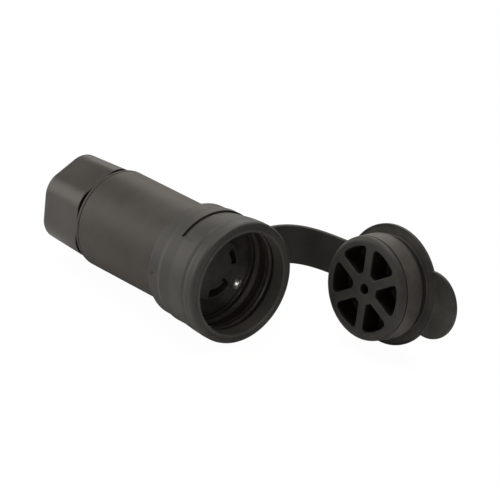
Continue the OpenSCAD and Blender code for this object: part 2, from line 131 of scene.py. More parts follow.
def moulded(name, dark, light, roughness, grain=0.00004, mottle=45, fine=1900, edge=0.0, soft=0.0):
    """Rubber or plastic from a mould: cloudy in colour and gloss, with a fine grain, and with edge
    set a painted highlight on its edges.
    """
    material = bpy.data.materials.new(name)
    material.use_nodes = True
    tree = material.node_tree
    shader = tree.nodes["Principled BSDF"]
    place = tree.nodes.new("ShaderNodeTexCoord")
    clouds = tree.nodes.new("ShaderNodeTexNoise")
    clouds.inputs["Scale"].default_value = mottle
    clouds.inputs["Detail"].default_value = 6
    clouds.inputs["Roughness"].default_value = 0.6
    tree.links.new(place.outputs["Object"], clouds.inputs["Vector"])
    tone = tree.nodes.new("ShaderNodeValToRGB")
    tone.color_ramp.elements[0].position, tone.color_ramp.elements[1].position = 0.3, 0.7
    tone.color_ramp.elements[0].color = (*dark, 1)
    tone.color_ramp.elements[1].color = (*light, 1)
    tree.links.new(clouds.outputs["Fac"], tone.inputs["Fac"])
    colour = tone.outputs["Color"]
    # Painted highlight: edges, found by their pointiness, are lightened towards a pale grey.
    if edge:
        edge_sharpness = tree.nodes.new("ShaderNodeNewGeometry")
        pick = tree.nodes.new("ShaderNodeMapRange")
        pick.inputs["From Min"].default_value = 0.53
        pick.inputs["From Max"].default_value = 0.62
        tree.links.new(edge_sharpness.outputs["Pointiness"], pick.inputs["Value"])
        edge_highlight_share = tree.nodes.new("ShaderNodeMath")
        edge_highlight_share.operation = "MULTIPLY"
        edge_highlight_share.inputs[1].default_value = edge
        tree.links.new(pick.outputs["Result"], edge_highlight_share.inputs[0])
        mix = tree.nodes.new("ShaderNodeMix")
        mix.data_type = "RGBA"
        mix.inputs["B"].default_value = (*[min(1, 2.2 * c) for c in light], 1)
        tree.links.new(edge_highlight_share.outputs["Value"], mix.inputs["Factor"])
        tree.links.new(colour, mix.inputs["A"])
        colour = mix.outputs["Result"]
    tree.links.new(colour, shader.inputs["Base Color"])
    gloss = tree.nodes.new("ShaderNodeMapRange")
    gloss.inputs["To Min"].default_value = roughness - 0.06
    gloss.inputs["To Max"].default_value = roughness + 0.08
    tree.links.new(clouds.outputs["Fac"], gloss.inputs["Value"])
    tree.links.new(gloss.outputs["Result"], shader.inputs["Roughness"])
    specks = tree.nodes.new("ShaderNodeTexNoise")
    specks.inputs["Scale"].default_value = fine
    specks.inputs["Detail"].default_value = 3
    tree.links.new(place.outputs["Object"], specks.inputs["Vector"])
    bump = tree.nodes.new("ShaderNodeBump")
    bump.inputs["Strength"].default_value = 0.5
    bump.inputs["Distance"].default_value = grain
    tree.links.new(specks.outputs["Fac"], bump.inputs["Height"])
    if soft:
        bevel = tree.nodes.new("ShaderNodeBevel")
        bevel.inputs["Radius"].default_value = soft
        tree.links.new(bevel.outputs["Normal"], bump.inputs["Normal"])
    tree.links.new(bump.outputs["Normal"], shader.inputs["Normal"])
    return material


def toned(material, stops, radius=500, place=Matrix()):
    """Paints light and shade: multiplies a colour by tones at stations along a place's X axis,
    within a radius of it.
    """
    tree = material.node_tree
    shader = tree.nodes["Principled BSDF"]
    colour = shader.inputs["Base Color"].links[0].from_socket
    spot = tree.nodes.new("ShaderNodeTexCoord")
    local = tree.nodes.new("ShaderNodeMapping")
    local.inputs["Location"].default_value = place.inverted().to_translation()
    local.inputs["Rotation"].default_value = place.inverted().to_euler()
    tree.links.new(spot.outputs["Object"], local.inputs["Vector"])
    split = tree.nodes.new("ShaderNodeSeparateXYZ")
    tree.links.new(local.outputs["Vector"], split.inputs["Vector"])
    flat = tree.nodes.new("ShaderNodeVectorMath")
    flat.operation = "MULTIPLY"
    flat.inputs[1].default_value = (0, 1, 1)
    tree.links.new(local.outputs["Vector"], flat.inputs[0])
    reach = tree.nodes.new("ShaderNodeVectorMath")
    reach.operation = "LENGTH"
    tree.links.new(flat.outputs["Vector"], reach.inputs[0])
    within = tree.nodes.new("ShaderNodeMath")
    within.operation = "LESS_THAN"
    within.inputs[1].default_value = radius * mm
    tree.links.new(reach.outputs["Value"], within.inputs[0])
    first, last = stops[0][0], stops[-1][0]
    along = tree.nodes.new("ShaderNodeMapRange")
    along.inputs["From Min"].default_value = first * mm
    along.inputs["From Max"].default_value = last * mm
    tree.links.new(split.outputs["X"], along.inputs["Value"])
    tones = tree.nodes.new("ShaderNodeValToRGB")
    ramp = tones.color_ramp.elements
    ramp[0].color, ramp[1].color = (*stops[0][1], 1), (*stops[-1][1], 1)
    for station, tone in stops[1:-1]:
        ramp.new((station - first) / (last - first)).color = (*tone, 1)
    tree.links.new(along.outputs["Result"], tones.inputs["Fac"])
    mix = tree.nodes.new("ShaderNodeMix")
    mix.data_type, mix.blend_type = "RGBA", "MULTIPLY"
    tree.links.new(within.outputs["Value"], mix.inputs["Factor"])
    tree.links.new(colour, mix.inputs["A"])
    tree.links.new(tones.outputs["Color"], mix.inputs["B"])
    tree.links.new(mix.outputs["Result"], shader.inputs["Base Color"])


def boot_profile():
    """The boot's section, from the mouth's lip round the outside and back through the bore."""
    slit_end = panel_back + slit_w
    corners = [(lip, mouth_r, 0.4), (lip, lip_r - 0.35, 0.15), (lip - 0.3, lip_r, 0.15),
               (lip - 0.1, lip_r + 0.3, 0.2), (lip - 0.15, rim_r - 0.5, 1.3), (-0.9, rim_r, 1.6),
               (-bead_len - 0.3, rim_r, 1.2),
               (-bead_len - 1.6, rim_r - 0.4, 1.0), (-bead_len - 3.4, collar_r, 1.5),
               (-11, 29.6, 0), (-14, 29.3, 0), (-18, waist_r, 3), (-panel_back + 0.5, waist_r, 0)]
    corners += [(-x, waist_r, 0) for x in (panel_back - 0.02, panel_back + 0.02, slit_end - 0.02,
                                           slit_end + 0.02, slit_end + 0.5)]
    corners += [(-collar_back, waist_r, 2.0), (-collar_back - 2.4, low_band_r, 2.0)]
    corners += [(-dimple_station + dx, low_band_r, 0)
                for dx in (1.3, 0.8, 0.4, 0, -0.4, -0.8, -1.3)]
    corners += [(-band_back, low_band_r, 3.0), (-band_back - 1.8, tube_r, 2.0)]
    corners += [(-40, tube_r, 0), (-88, tube_r, 0)]
    corners += [(-boot_len + 2.5, tube_r, 0.2), (-boot_len + 2.0, tube_r - 0.4, 0.1),
                (-boot_len + 1.5, tube_r, 0.2), (-boot_len, tube_r, 0.7),
                (-boot_len, neck_hole_r, 0.4), (-boot_len + end_wall, neck_hole_r, 0.3),
                (-boot_len + end_wall, housing_r, 0.3), (-ledge_back, housing_r, 0.2),
                (-ledge_back, ledge_r, 0.2), (-rib_back, ledge_r, 0)]
    ribs_and_grooves = [(22.9, 0.9), (21.7, 1.0), (20.4, 0), (19.6, 0), (17.8, 1.1), (13.8, 1.0),
                        (12.7, 0), (12.1, 0), (11.2, 0.35), (10.3, 0), (9.8, 0), (9.3, 1.0),
                        (7.2, 1.0), (6.4, 0)]
    corners += [(-depth, mouth_r + low, 0.7) for depth, low in ribs_and_grooves]
    return rounded(corners)


def boot_shape(x, r, angle):
    """Sinks the panel and its slit into the collar's top, and a dimple into the shoulder."""
    if r > slit_r - 0.1 and -panel_back - slit_w < x < -panel_front:
        off = abs((math.degrees(angle) - 90 + 180) % 360 - 180)
        share = min(1, max(0, (panel_half_angle - off) / panel_blend))
        share = share * share * (3 - 2 * share)
        rise = (collar_r - panel_r) / (panel_back - panel_front - 1)
        floor_r = panel_r + rise * (x + panel_back)
        r -= share * max(0, r - (floor_r if x > -panel_back else slit_r))
    if abs(x + dimple_station) < 1.4 and r > 27:
        away = math.hypot(x + dimple_station, (angle - math.radians(dimple_angle)) * r)
        if away < dimple_r:
            r -= dimple_depth * (1 - (away / dimple_r) ** 2)
    return x, r


def soft_box(bm, low, high, rounding):
    """A block with rounded edges, for the strap's root or a slot."""
    made = bmesh.ops.create_cube(bm, size=1)["verts"]
    for v in made:
        v.co = Vector(mm * (lo + (c + 0.5) * (hi - lo)) for c, lo, hi in zip(v.co, low, high))
    edges = list({e for v in made for e in v.link_edges})
    bmesh.ops.bevel(bm, geom=edges, offset=rounding * mm, segments=4, affect="EDGES", profile=0.5)


boot_rubber = moulded("boot_rubber", (0.036, 0.037, 0.033), (0.068, 0.064, 0.058), 0.5, edge=0.2)
# Painted light and shade in the mouth: the front of the bore and the ribs' walls are lightened as
# if lit, and the groove floors are darkened as if shaded.
bore_painted_light_and_shade = [(-23.5, (0.9, 0.8, 0.75)), (-21, (1.4, 1.3, 1.2)), (-18.6, (1.5, 1.35, 1.25)),
              (-17.6, (0.8, 0.7, 0.65)), (-13.6, (0.8, 0.7, 0.65)), (-12.6, (0.9, 0.8, 0.75)),
              (-9.4, (0.9, 0.8, 0.75)), (-8.8, (0.5, 0.42, 0.38)), (-7, (0.5, 0.42, 0.38)),
              (-6.4, (2.2, 2.2, 2.2)), (0.4, (1.7, 1.7, 1.7)), (2, (1, 1, 1))]
toned(boot_rubber, bore_painted_light_and_shade, radius=mouth_r + 1.2)
bm = bmesh.new()
turn_profile(bm, boot_profile(), 288, boot_shape)
soft_box(bm, (-root_station - root_half_len, mouth_r + 2.5, root_rise - root_half_w),
         (-root_station + root_half_len, root_out, root_rise + root_half_w), 0.8)
boot = finished("boot", bm, boot_rubber, sharp=50)
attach(boot, "coupler")
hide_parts("boot_sleeve")


# Housing: the rigid nylon body inside the boot, with its gasket, contact block and cover. It
# is moulded, and only the mouth and the cable's opening let it show.
housing_nylon = moulded("housing_nylon", (0.020, 0.020, 0.019), (0.030, 0.029, 0.028), 0.42)
cover_nylon = moulded("cover_nylon", (0.030, 0.029, 0.026), (0.041, 0.040, 0.036), 0.5)
gasket_rubber = moulded("gasket_rubber", (0.034, 0.034, 0.033), (0.046, 0.046, 0.044), 0.7)


def dress(material, *names):
    """Gives CAD nodes their material."""
    for name in names:
        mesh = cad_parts[name].data
        mesh.materials.clear()
        mesh.materials.append(material)


dress(housing_nylon, "body_shell", "contact_block")
dress(cover_nylon, "block_cover")
dress(gasket_rubber, "face_gasket", "neck_oring")


# Contact face: the moulded nylon plate deep in the mouth, with its four curved slots. It lies
# on the gasket, and two long screws pull it down.
face_nylon = moulded("face_nylon", (0.034, 0.032, 0.029), (0.074, 0.071, 0.065), 0.4,
                     mottle=160, soft=0.0005)
# Painted shadow: the plate darkens towards its top, where the mouth's rim shades it.
toned(face_nylon, [(-12, (1, 1, 1)), (14, (0.3, 0.3, 0.3))],
      place=Matrix.Rotation(math.radians(-60), 4, "Y"))
dress(face_nylon, "contact_face")


# Contacts: folded brass leaves behind the slots, with steel clamp plates and screws, one of
# them green for the ground. The brass is drawn and slightly tarnished.
def metal(name, colour, stain, roughness, scale=160):
    """Bare metal with stains and fine drawing lines along the axis."""
    material = bpy.data.materials.new(name)
    material.use_nodes = True
    tree = material.node_tree
    shader = tree.nodes["Principled BSDF"]
    shader.inputs["Metallic"].default_value = 1
    place = tree.nodes.new("ShaderNodeTexCoord")
    stretch = tree.nodes.new("ShaderNodeMapping")
    stretch.inputs["Scale"].default_value = (0.15, 1, 1)
    tree.links.new(place.outputs["Object"], stretch.inputs["Vector"])
    lines = tree.nodes.new("ShaderNodeTexNoise")
    lines.inputs["Scale"].default_value = 2600
    lines.inputs["Detail"].default_value = 4
    tree.links.new(stretch.outputs["Vector"], lines.inputs["Vector"])
    stains = tree.nodes.new("ShaderNodeTexNoise")
    stains.inputs["Scale"].default_value = scale
    stains.inputs["Detail"].default_value = 5
    tree.links.new(place.outputs["Object"], stains.inputs["Vector"])
    tone = tree.nodes.new("ShaderNodeValToRGB")
    tone.color_ramp.elements[0].position, tone.color_ramp.elements[1].position = 0.35, 0.65
    tone.color_ramp.elements[0].color = (*stain, 1)
    tone.color_ramp.elements[1].color = (*colour, 1)
    tree.links.new(stains.outputs["Fac"], tone.inputs["Fac"])
    tree.links.new(tone.outputs["Color"], shader.inputs["Base Color"])
    gloss = tree.nodes.new("ShaderNodeMapRange")
    gloss.inputs["To Min"].default_value = roughness - 0.08
    gloss.inputs["To Max"].default_value = roughness + 0.12
    tree.links.new(lines.outputs["Fac"], gloss.inputs["Value"])
    tree.links.new(gloss.outputs["Result"], shader.inputs["Roughness"])
    bump = tree.nodes.new("ShaderNodeBump")
    bump.inputs["Strength"].default_value = 0.3
    bump.inputs["Distance"].default_value = 0.00001
    tree.links.new(lines.outputs["Fac"], bump.inputs["Height"])
    tree.links.new(bump.outputs["Normal"], shader.inputs["Normal"])
    return material


contact_brass = metal("contact_brass", (0.50, 0.33, 0.09), (0.36, 0.22, 0.06), 0.28)
screw_steel = metal("screw_steel", (0.86, 0.85, 0.82), (0.70, 0.69, 0.66), 0.26)
ground_green = moulded("ground_green", (0.035, 0.16, 0.055), (0.05, 0.22, 0.08), 0.35)
dress(contact_brass, "line_contact_x", "line_contact_y", "line_contact_z", "ground_contact",
      "assembly_inserts")
dress(screw_steel, "clamp_plates", "terminal_screws")
dress(ground_green, "ground_screw")


# Assembly screws: two long zinc-plated screws through the contact face, turned in brass
# inserts. Their bright slotted round heads show in the mouth, one on each side.
screw_circle_r, screw_first_angle, screw_count, slot_angle = 20.2, -40.0, 2, 87
head_r, head_rise, head_base, head_rim, slot_floor, slot_w = 2.7, 2.9, -22.9, 0.5, 1.6, 0.8
shank_r, shank_end = 1.5, -34.7
zinc = metal("zinc", (0.92, 0.91, 0.88), (0.78, 0.77, 0.74), 0.45)


def round_the_axis():
    """A node tree that repeats its piece round the X axis."""
    tree = bpy.data.node_groups.new("round_the_axis", "GeometryNodeTree")
    face = tree.interface
    face.new_socket("Geometry", in_out="INPUT", socket_type="NodeSocketGeometry")
    face.new_socket("Count", in_out="INPUT", socket_type="NodeSocketInt")
    face.new_socket("First Angle", in_out="INPUT", socket_type="NodeSocketFloat")
    face.new_socket("Merge Distance", in_out="INPUT", socket_type="NodeSocketFloat")
    face.new_socket("Material", in_out="INPUT", socket_type="NodeSocketMaterial")
    face.new_socket("Geometry", in_out="OUTPUT", socket_type="NodeSocketGeometry")
    given = tree.nodes.new("NodeGroupInput")
    points = tree.nodes.new("GeometryNodePoints")
    index = tree.nodes.new("GeometryNodeInputIndex")
    share = tree.nodes.new("ShaderNodeMath")
    share.operation = "DIVIDE"
    share.inputs[0].default_value = math.tau
    angle = tree.nodes.new("ShaderNodeMath")
    angle.operation = "MULTIPLY_ADD"
    turn = tree.nodes.new("ShaderNodeCombineXYZ")
    spread = tree.nodes.new("GeometryNodeInstanceOnPoints")
    real = tree.nodes.new("GeometryNodeRealizeInstances")
    merge = tree.nodes.new("GeometryNodeMergeByDistance")
    coat = tree.nodes.new("GeometryNodeSetMaterial")
    out = tree.nodes.new("NodeGroupOutput")
    link = tree.links.new
    link(given.outputs["Count"], points.inputs["Count"])
    link(given.outputs["Count"], share.inputs[1])
    link(index.outputs["Index"], angle.inputs[0])
    link(share.outputs["Value"], angle.inputs[1])
    link(given.outputs["First Angle"], angle.inputs[2])
    link(angle.outputs["Value"], turn.inputs["X"])
    link(points.outputs["Points"], spread.inputs["Points"])
    link(given.outputs["Geometry"], spread.inputs["Instance"])
    link(turn.outputs["Vector"], spread.inputs["Rotation"])
    link(spread.outputs["Instances"], real.inputs["Geometry"])
    link(real.outputs["Geometry"], merge.inputs["Geometry"])
    link(given.outputs["Merge Distance"], merge.inputs["Distance"])
    link(merge.outputs["Geometry"], coat.inputs["Geometry"])
    link(given.outputs["Material"], coat.inputs["Material"])
    link(coat.outputs["Geometry"], out.inputs["Geometry"])
    return tree


def grown(piece, tree, **values):
    """Runs a node tree on a piece, and keeps the result as its plain mesh."""
    growth = piece.modifiers.new("growth", "NODES")
    growth.node_group = tree
    sockets = {s.name.lower().replace(" ", "_"): s.identifier
               for s in tree.interface.items_tree if s.in_out == "INPUT"}
    for name, value in values.items():
        growth[sockets[name]] = value
    graph = bpy.context.evaluated_depsgraph_get()
    graph.update()
    mesh = bpy.data.meshes.new_from_object(piece.evaluated_get(graph))
    piece.modifiers.clear()
    piece.data = mesh
    return piece


def carved(piece, other, operation):
    """Adds or cuts away another closed piece, which is used up."""
    change = piece.modifiers.new("change", "BOOLEAN")
    change.object, change.solver, change.operation = other, "EXACT", operation
    graph = bpy.context.evaluated_depsgraph_get()
    graph.update()
    mesh = bpy.data.meshes.new_from_object(piece.evaluated_get(graph))
    bm = bmesh.new()
    bm.from_mesh(mesh)
    bmesh.ops.recalc_face_normals(bm, faces=bm.faces)
    bm.to_mesh(mesh)
    bm.free()
    piece.modifiers.clear()
    piece.data = mesh
    bpy.data.objects.remove(other)


axis_ring = round_the_axis()
bm = bmesh.new()
turn_profile(bm, [(head_base, 0), (head_base, head_r), (head_base + head_rim, head_r)]
             + [(head_base + head_rim + (head_rise - head_rim) * math.sin(math.radians(a)),
                 head_r * math.cos(math.radians(a))) for a in range(10, 90, 10)]
             + [(head_base + head_rise, 0)], 40)
slot_cut = bmesh.new()
soft_box(slot_cut, (head_base + slot_floor, -head_r - 1, -slot_w / 2),
         (head_base + 4, head_r + 1, slot_w / 2), 0.05)
turn_profile(bm, rounded([(head_base + head_rim, 0, 0), (head_base + head_rim, shank_r, 0),
                          (shank_end, shank_r, 0.4), (shank_end, 0, 0)]), 24)
screws = finished("assembly_screw_heads", bm, zinc)
carved(screws, finished("slot_cutter", slot_cut, zinc), "DIFFERENCE")
screws.data.transform(Matrix.Translation((0, screw_circle_r * mm, 0))
                      @ Matrix.Rotation(math.radians(slot_angle), 4, "X"))
grown(screws, axis_ring, count=screw_count, first_angle=math.radians(screw_first_angle),
      merge_distance=0.0, material=zinc)
screws.data.set_sharp_from_angle(angle=math.radians(35))
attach(screws, "coupler")
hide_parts("assembly_screws")


# Cord grip: a rubber grommet that closes on the cable, a steel slip washer, and the nylon nut
# that presses both. The nut is a hexagon with broad rounded corners, screwed on the neck.
nut_front, nut_len, nut_corner_r, nut_flat_angle = -95.8, 28.5, 11.5, 113.0
nut_af_front, nut_af_rear, nut_blank_r = 46.6, 44.2, 26
neck_r, washer_r, cable_hole_r = 18.05, 15.2, 11.0
thread_end, washer_seat, nut_shoulder = -113, -114, -117.3
grommet_r, grommet_bore_r, grommet_front, grommet_back = 14.6, 8.5, -98.4, -115.5
ridge_count, ridge_pitch, ridge_depth = 7, 2.3, 0.7

grommet_rubber = moulded("grommet_rubber", (0.030, 0.029, 0.026), (0.040, 0.039, 0.036), 0.6)
bm = bmesh.new()
grip = []
for i in range(ridge_count):
    x = grommet_front - 1.6 - i * ridge_pitch
    grip += [(x, grommet_bore_r, 0.3), (x - 0.7, grommet_bore_r + ridge_depth, 0.3),
             (x - 1.4, grommet_bore_r, 0.3)]
turn_profile(bm, rounded([(grommet_front, grommet_bore_r, 0.3), *grip,
                          (grommet_back, grommet_bore_r, 0.5), (grommet_back, grommet_r - 1, 0.3),
                          (grommet_back + 2, grommet_r, 0.3), (grommet_front - 4, grommet_r, 0.3),
                          (grommet_front, grommet_r - 2.5, 0.3)], steps=4), 120)
grommet = finished("grommet", bm, grommet_rubber)
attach(grommet, "coupler")
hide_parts("cable_grommet")
dress(screw_steel, "thrust_washer")

nut_nylon = moulded("nut_nylon", (0.042, 0.039, 0.035), (0.064, 0.058, 0.053), 0.38, edge=0.5)
# Painted shadow: the nut's front face, in the gap behind the boot, is darkened almost to black.
toned(nut_nylon, [(nut_front - 0.7, (1, 1, 1)), (nut_front - 0.3, (0.05, 0.05, 0.05))])


def hex_reach(angle, across):
    """Distance from the axis to a rounded hexagon of a size across its flats, in one direction."""
    off = math.radians(abs((math.degrees(angle) - nut_flat_angle + 30) % 60 - 30))
    inner = across / 2 - nut_corner_r
    if math.tan(off) * across / 2 <= inner * math.tan(math.radians(30)):
        return across / 2 / math.cos(off)
    corner = inner / math.cos(math.radians(30))
    away = math.radians(30) - off
    return corner * math.cos(away) + math.sqrt(nut_corner_r**2 - (corner * math.sin(away))**2)


def nut_shape(x, r, angle):
    """Turns the nut's outside into a hexagon that narrows to the rear. Its bore stays round."""
    if r <= washer_r + 5:
        return x, r
    across = nut_af_front + (nut_af_rear - nut_af_front) * (nut_front - x) / nut_len
    return x, hex_reach(angle, across) - (nut_blank_r - r)


nut_back = nut_front - nut_len
nut_profile = rounded([
    (nut_front, neck_r, 0.3), (nut_front, nut_blank_r, 0.4), (nut_back, nut_blank_r, 1.6),
    (nut_back, nut_blank_r - 5, 0), (nut_back, cable_hole_r + 3, 0),
    (nut_back, cable_hole_r + 1.8, 0.8), (nut_back + 1.4, cable_hole_r, 0.8),
    (nut_shoulder, cable_hole_r, 0.2), (nut_shoulder, washer_r, 0.2),
    (washer_seat, washer_r, 0.2), (thread_end, neck_r, 0.2)])
bm = bmesh.new()
turn_profile(bm, nut_profile, 240, nut_shape)
nut = finished("gland_nut_shell", bm, nut_nylon)
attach(nut, "nut")
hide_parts("gland_nut")


# Closure cap: a round rubber plug on a flange with a pull tab, moulded in one. Its front disc
# holds six deep wedge pockets between spokes, and a small hole in the centre. One sixth is
# built, repeated round the axis and stood on the flange's edge beside the mouth.
cap_place, cap_heading, cap_lean = (39.4, 57.8, -3.7), -86.0, 10.6
flange_r, flange_half, neck_cap_r = 28.8, 1.4, 23.6
plug_h, nose_r, band_low, band_high, band_r = 17.8, 24.7, 4.6, 14.3, 25.1
pocket_in, pocket_out, pocket_corner, spoke_w, pocket_depth = 7.4, 20.3, 1.8, 4.6, 11.0
pocket_rim, hole_r, hole_lip, hole_depth, nose_round = 0.55, 2.5, 0.5, 10.0, 2.6
seat_r, seat_face, rim_face = 28.05, 0.3, 0.5
room_r, room_back, room_front = seat_r + 0.25, -0.9, 3
tab_r, tab_reach, tab_side, tab_t = 16.2, 25.9, -1.5, 1.85
sector_steps, spoke_steps = 14, 16


def arc(cx, cy, r, start, end, steps):
    """Points of an arc, with its angles in degrees."""
    return [Vector((cx + r * math.cos(math.radians(start + (end - start) * i / steps)),
                    cy + r * math.sin(math.radians(start + (end - start) * i / steps))))
            for i in range(steps + 1)]


def pocket_outline(grow):
    """One pocket's outline, larger by grow on every side."""
    c = pocket_corner + grow
    far, near = pocket_out + grow - c, pocket_in - grow + c
    edge = spoke_w / 2 - grow + c
    turn_far = 30 - math.degrees(math.asin(edge / far))
    turn_near = 30 - math.degrees(math.asin(edge / near))
    fx, fy = far * math.cos(math.radians(turn_far)), far * math.sin(math.radians(turn_far))
    nx, ny = near * math.cos(math.radians(turn_near)), near * math.sin(math.radians(turn_near))
    return (arc(0, 0, far + c, -turn_far, turn_far, 12)[:-1]
            + arc(fx, fy, c, turn_far, 120, 7) + arc(nx, ny, c, 120, 180 + turn_near, 7)
            + arc(nx, -ny, c, 180 - turn_near, 240, 7)
            + arc(fx, -fy, c, 240, 360 - turn_far, 7)[:-1])


def sector_frame():
    """The border of the nose's flat over one sixth of the turn, matched to the outline."""
    inner, outer = hole_r + hole_lip, nose_r - nose_round
    middle = Vector(((pocket_in + pocket_out) / 2 + 0.8, 0))
    border = arc(0, 0, outer, -30, 30, sector_steps)
    edge = Vector((math.cos(math.pi / 6), math.sin(math.pi / 6)))
    side = [edge * (outer + (inner - outer) * i / spoke_steps) for i in range(1, spoke_steps)]
    border += side + arc(0, 0, inner, 30, -30, sector_steps)
    border += [Vector((p.x, -p.y)) for p in reversed(side)]
    return border, middle


def on_outline(outline, middle, target):
    """Where the line from the pocket's middle to a border point crosses the outline."""
    ray = target - middle
    for a, b in zip(outline, outline[1:] + outline[:1]):
        along = b - a
        cross = ray.x * along.y - ray.y * along.x
        if abs(cross) < 1e-12:
            continue
        off = a - middle
        t = (off.x * along.y - off.y * along.x) / cross
        u = (off.x * ray.y - off.y * ray.x) / cross
        if t > 0 and -1e-9 <= u <= 1 + 1e-9:
            return middle + ray * t
    return middle


def loft(bm, loops, closed=True):
    """Skins one loop of points after another."""
    rows = [[bm.verts.new(Vector(p) * mm) for p in loop] for loop in loops]
    for one, two in zip(rows, rows[1:]):
        for k in range(len(one) if closed else len(one) - 1):
            n = (k + 1) % len(one)
            bm.faces.new((one[k], one[n], two[n], two[k]))
    return rows


def sixth(bm, profile, pole_x):
    """Turns an open profile of (x, r) points through a sixth, and closes it on the axis."""
    turns = [math.radians(-30 + 60 * i / sector_steps) for i in range(sector_steps + 1)]
    rows = loft(bm, [[(x, r * math.cos(a), r * math.sin(a)) for a in turns] for x, r in profile],
                closed=False)
    pole = bm.verts.new((pole_x * mm, 0, 0))
    for one, two in zip(rows[-1], rows[-1][1:]):
        bm.faces.new((one, two, pole))


heading, lean = math.radians(cap_heading), math.radians(cap_lean)
ahead = Vector((math.cos(heading), math.sin(heading), 0))
sideways = Vector((-math.sin(heading), math.cos(heading), 0))
nose_dir = ahead * math.cos(lean) + Vector((0, 0, math.sin(lean)))
cap_up = nose_dir.cross(sideways)
cap_stand = (Matrix.Translation(Vector(cap_place) * mm)
             @ Matrix((nose_dir, sideways, cap_up)).transposed().to_4x4())
# The cap's rubber is the boot's, painted darker as shade on its nose; the tones below lighten it
# again where it is lit.
cap_rubber = moulded("cap_rubber", (0.029, 0.029, 0.026), (0.062, 0.059, 0.054), 0.5,
                     mottle=90, edge=0.35)
# Painted shade: the pockets are darkened deep down, and less towards their mouths.
pocket_floor, pocket_painted_shade = plug_h - pocket_depth, (0.15, 0.12, 0.1)
pocket_shade_tones = [(pocket_floor - 1.4, (1, 1, 1)), (pocket_floor - 0.6, pocket_painted_shade),
                (plug_h - 3, pocket_painted_shade), (plug_h - 0.6, (0.45, 0.38, 0.34)), (plug_h, (1, 1, 1))]
# Painted light and shade on the cap's side: the flange's seat and the plug's band are lightened as
# if lit, and the neck between them is darkened as if shaded.
cap_side_light_and_shade = [(0.1, (1, 1, 1)), (0.2, (1.45, 1.45, 1.45)), (0.5, (1.45, 1.45, 1.45)),
              (1.0, (0.5, 0.5, 0.5)), (4.4, (0.5, 0.5, 0.5)), (5.5, (1.7, 1.65, 1.6)),
              (band_high, (1.8, 1.75, 1.7)), (band_high + 0.8, (1, 1, 1))]
# The flange is lightened as a painted highlight on its rim, and the plug ahead of it is a little
# darker as painted shade.
flange_highlight_plug_shade = [(0.75, (1.25, 1.25, 1.25)), (1.1, (0.93, 0.93, 0.93))]
toned(cap_rubber, pocket_shade_tones, radius=pocket_out + 0.6, place=cap_stand)
toned(cap_rubber, cap_side_light_and_shade, radius=seat_r - 0.2, place=cap_stand)
toned(cap_rubber, flange_highlight_plug_shade, place=cap_stand)
border, middle = sector_frame()
loops = [[(plug_h, p.x, p.y) for p in border]]
for k in range(7):
    a = math.radians(90 * k / 6)
    outline = pocket_outline(pocket_rim * (1 - math.sin(a)))
    loops.append([(plug_h - pocket_rim * (1 - math.cos(a)), *on_outline(outline, middle, p))
                  for p in border])
for down, inset in ((1.2, 0.02), (5.0, 0.15), (pocket_depth - 0.8, 0.3),
                    (pocket_depth - 0.25, 0.5), (pocket_depth, 1.0)):
    loops.append([(plug_h - down, *on_outline(pocket_outline(-inset), middle, p)) for p in border])
bm = bmesh.new()
rows = loft(bm, loops)
bm.faces.new(rows[-1])

cap_side = arc(plug_h - nose_round, nose_r - nose_round, nose_round, 0, 84, 7) + rounded([
    (band_high + 0.9, nose_r, 0), (band_high + 0.9, band_r - 1.2, 0.1),
    (band_high, band_r - 1.2, 0.1), (band_high, nose_r + 0.1, 0.3),
    (band_low + 2.6, band_r, 2.0), (band_low, band_r, 0.9), (band_low, neck_cap_r, 0.3),
    (seat_face, neck_cap_r, 0.4), (seat_face, seat_r - 0.1, 0.2), (rim_face, seat_r, 0.15),
    (rim_face, flange_r, 0.6), (-flange_half, flange_r, 0.7), (-flange_half, flange_r - 2, 0),
    (-flange_half, 14, 0), (-flange_half, 6, 0), (-flange_half, 0, 0)])[:-1]
sixth(bm, cap_side, -flange_half)
hole_side = [(plug_h - hole_lip * (1 - math.cos(math.radians(a))),
              hole_r + hole_lip * (1 - math.sin(math.radians(a)))) for a in range(0, 91, 18)]
hole_side += [(plug_h - hole_depth + 0.4, hole_r - 0.1), (plug_h - hole_depth, hole_r - 0.5)]
sixth(bm, hole_side, plug_h - hole_depth)
cap = finished("closure_cap_rubber", bm, cap_rubber, sharp=50)
grown(cap, axis_ring, count=6, first_angle=0.0, merge_distance=0.00001, material=cap_rubber)

bm = bmesh.new()
tab_back, tab_front = -flange_half, -flange_half + tab_t
turn_profile(bm, rounded([(tab_back, 0, 0), (tab_back, 8, 0), (tab_back, tab_r - 1.6, 0),
                          (tab_back, tab_r, 0.6), (tab_front, tab_r, 0.6),
                          (tab_front, tab_r - 1.6, 0), (tab_front, 8, 0), (tab_front, 0, 0)],
                         steps=5), 96)
bmesh.ops.translate(bm, verts=bm.verts, vec=(0, tab_reach * mm, tab_side * mm))
tab = finished("tab", bm, cap_rubber)
bm = bmesh.new()
turn_profile(bm, [(room_back, 0), (room_back, room_r), (room_front, room_r), (room_front, 0)], 84)
carved(tab, finished("seat_room", bm, cap_rubber), "DIFFERENCE")
carved(cap, tab, "UNION")
cap.data.set_sharp_from_angle(angle=math.radians(50))
cap.data.transform(cap_stand)
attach(cap, "cap")
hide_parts("closure_cap")


# Strap: a flat rubber band from the collar's root to the flange, moulded with both. It bends
# over the whole of its length, and it is made in two lengths that meet at its middle.
strap_w, strap_w_root, strap_t, strap_t_cap, strap_round = 18.9, 19.9, 2.6, 2.0, 0.8
strap_rise, strap_back, strap_overlap, strap_overrun, strap_seat = 2.4, 0.38, 1.6, 60, 9.0
strap_handles, strap_joint = (17.0, 20.0), 0.5
strap_start = Vector((-root_station, root_out, root_rise))
strap_end = (Vector(cap_place) + cap_up * strap_rise - nose_dir * strap_back
             - sideways * (math.sqrt(flange_r**2 - strap_seat**2) + strap_overlap))
